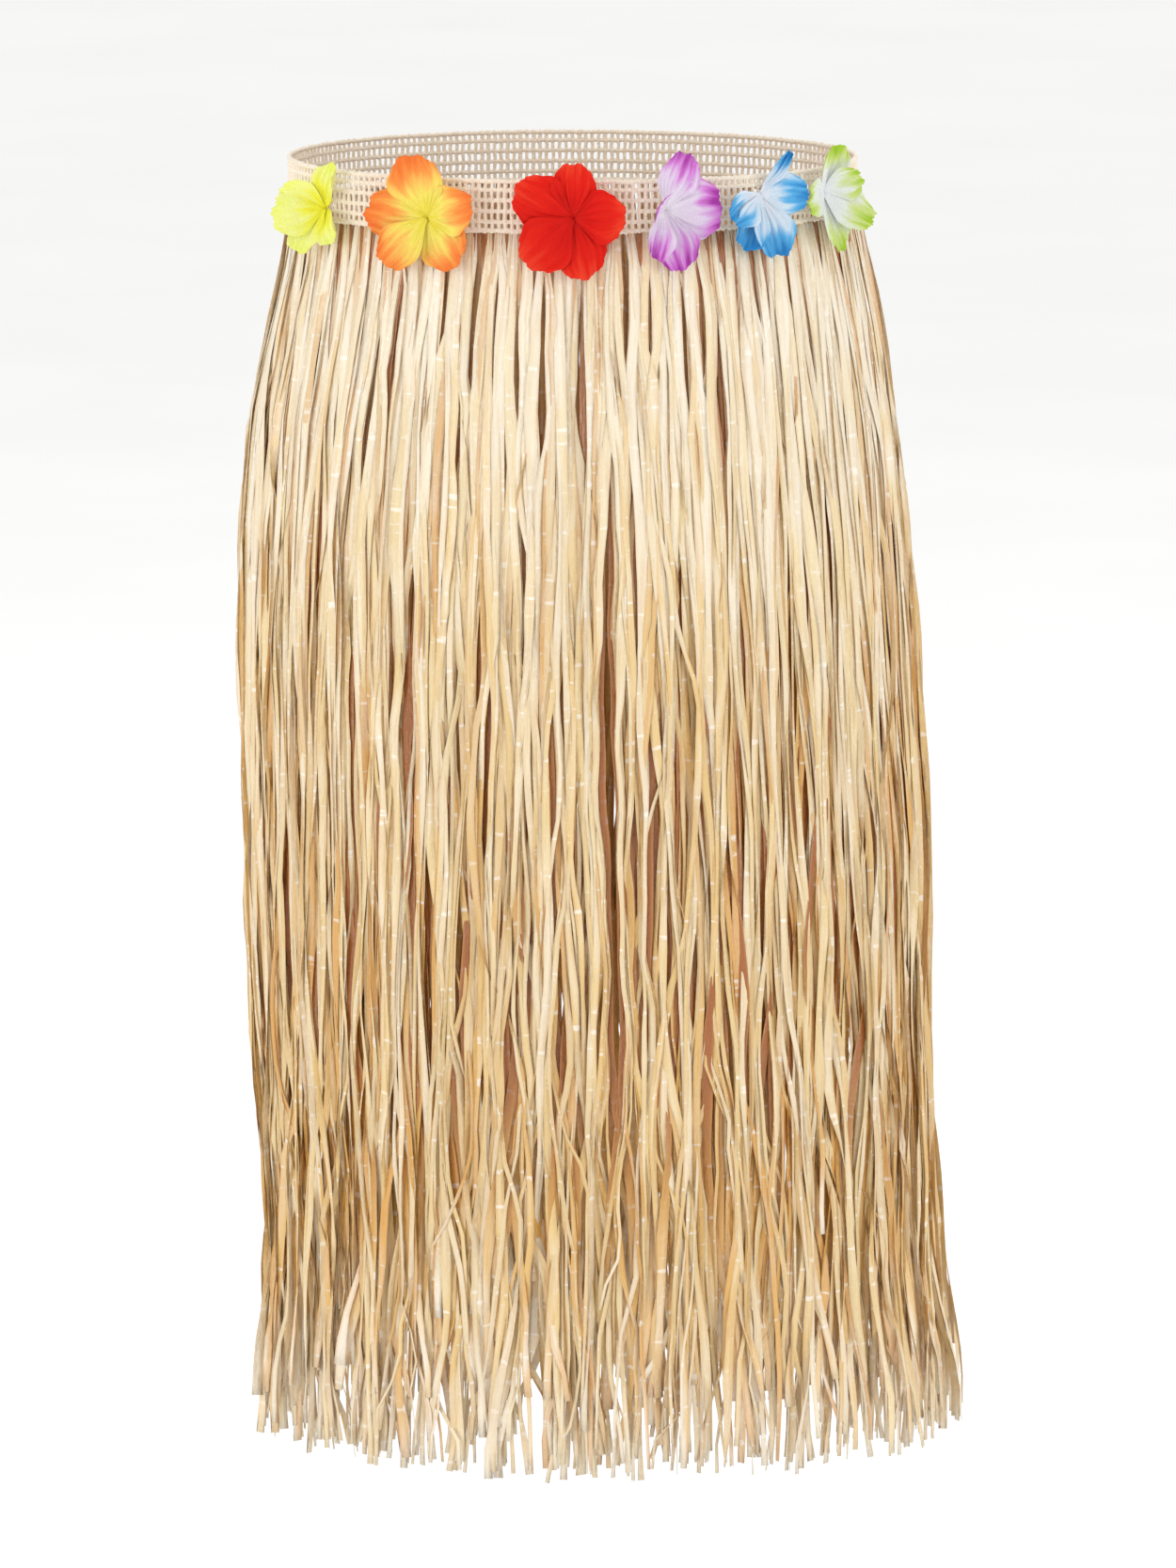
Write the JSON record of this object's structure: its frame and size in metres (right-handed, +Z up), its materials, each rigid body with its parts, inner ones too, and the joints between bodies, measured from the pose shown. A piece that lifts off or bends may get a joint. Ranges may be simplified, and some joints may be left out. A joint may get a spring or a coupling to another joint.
{
  "type": "grass skirt",
  "caption": "Long worn raffia skirt: ribbons hang from an oval knitted waistband with cloth flowers across its front; hollow and open at waist and hem.",
  "frame": {"origin": "middle of the waistband's oval at half its height, where the wearer's hips hold it", "axes": "+Z up, the front faces -Y, +X towards the wearer's left side"},
  "size_m": [0.4348, 0.3302, 0.8102],
  "materials": {
    "knit_band": "openwork knitted cream elastic",
    "raffia": "satin straw-coloured raffia ribbon, paler at the band and the tips",
    "petal_yellow": "thin lemon yellow flower cloth",
    "petal_orange": "thin yellow flower cloth with dyed orange tips",
    "petal_red": "thin red flower cloth",
    "petal_purple": "thin white flower cloth with dyed purple tips",
    "petal_blue": "thin white flower cloth with dyed blue edges",
    "petal_green": "thin white flower cloth with dyed lime tips"
  },
  "bodies": {
    "root": {"waistband": "knit_band", "grass_01": "raffia", "grass_02": "raffia", "grass_03": "raffia", "grass_04": "raffia", "grass_05": "raffia", "grass_06": "raffia", "grass_07": "raffia", "grass_08": "raffia", "grass_09": "raffia", "grass_10": "raffia", "grass_11": "raffia", "grass_12": "raffia", "flower_yellow": "petal_yellow", "flower_orange": "petal_orange", "flower_red": "petal_red", "flower_purple": "petal_purple", "flower_blue": "petal_blue", "flower_green": "petal_green"}
  },
  "joints": []
}
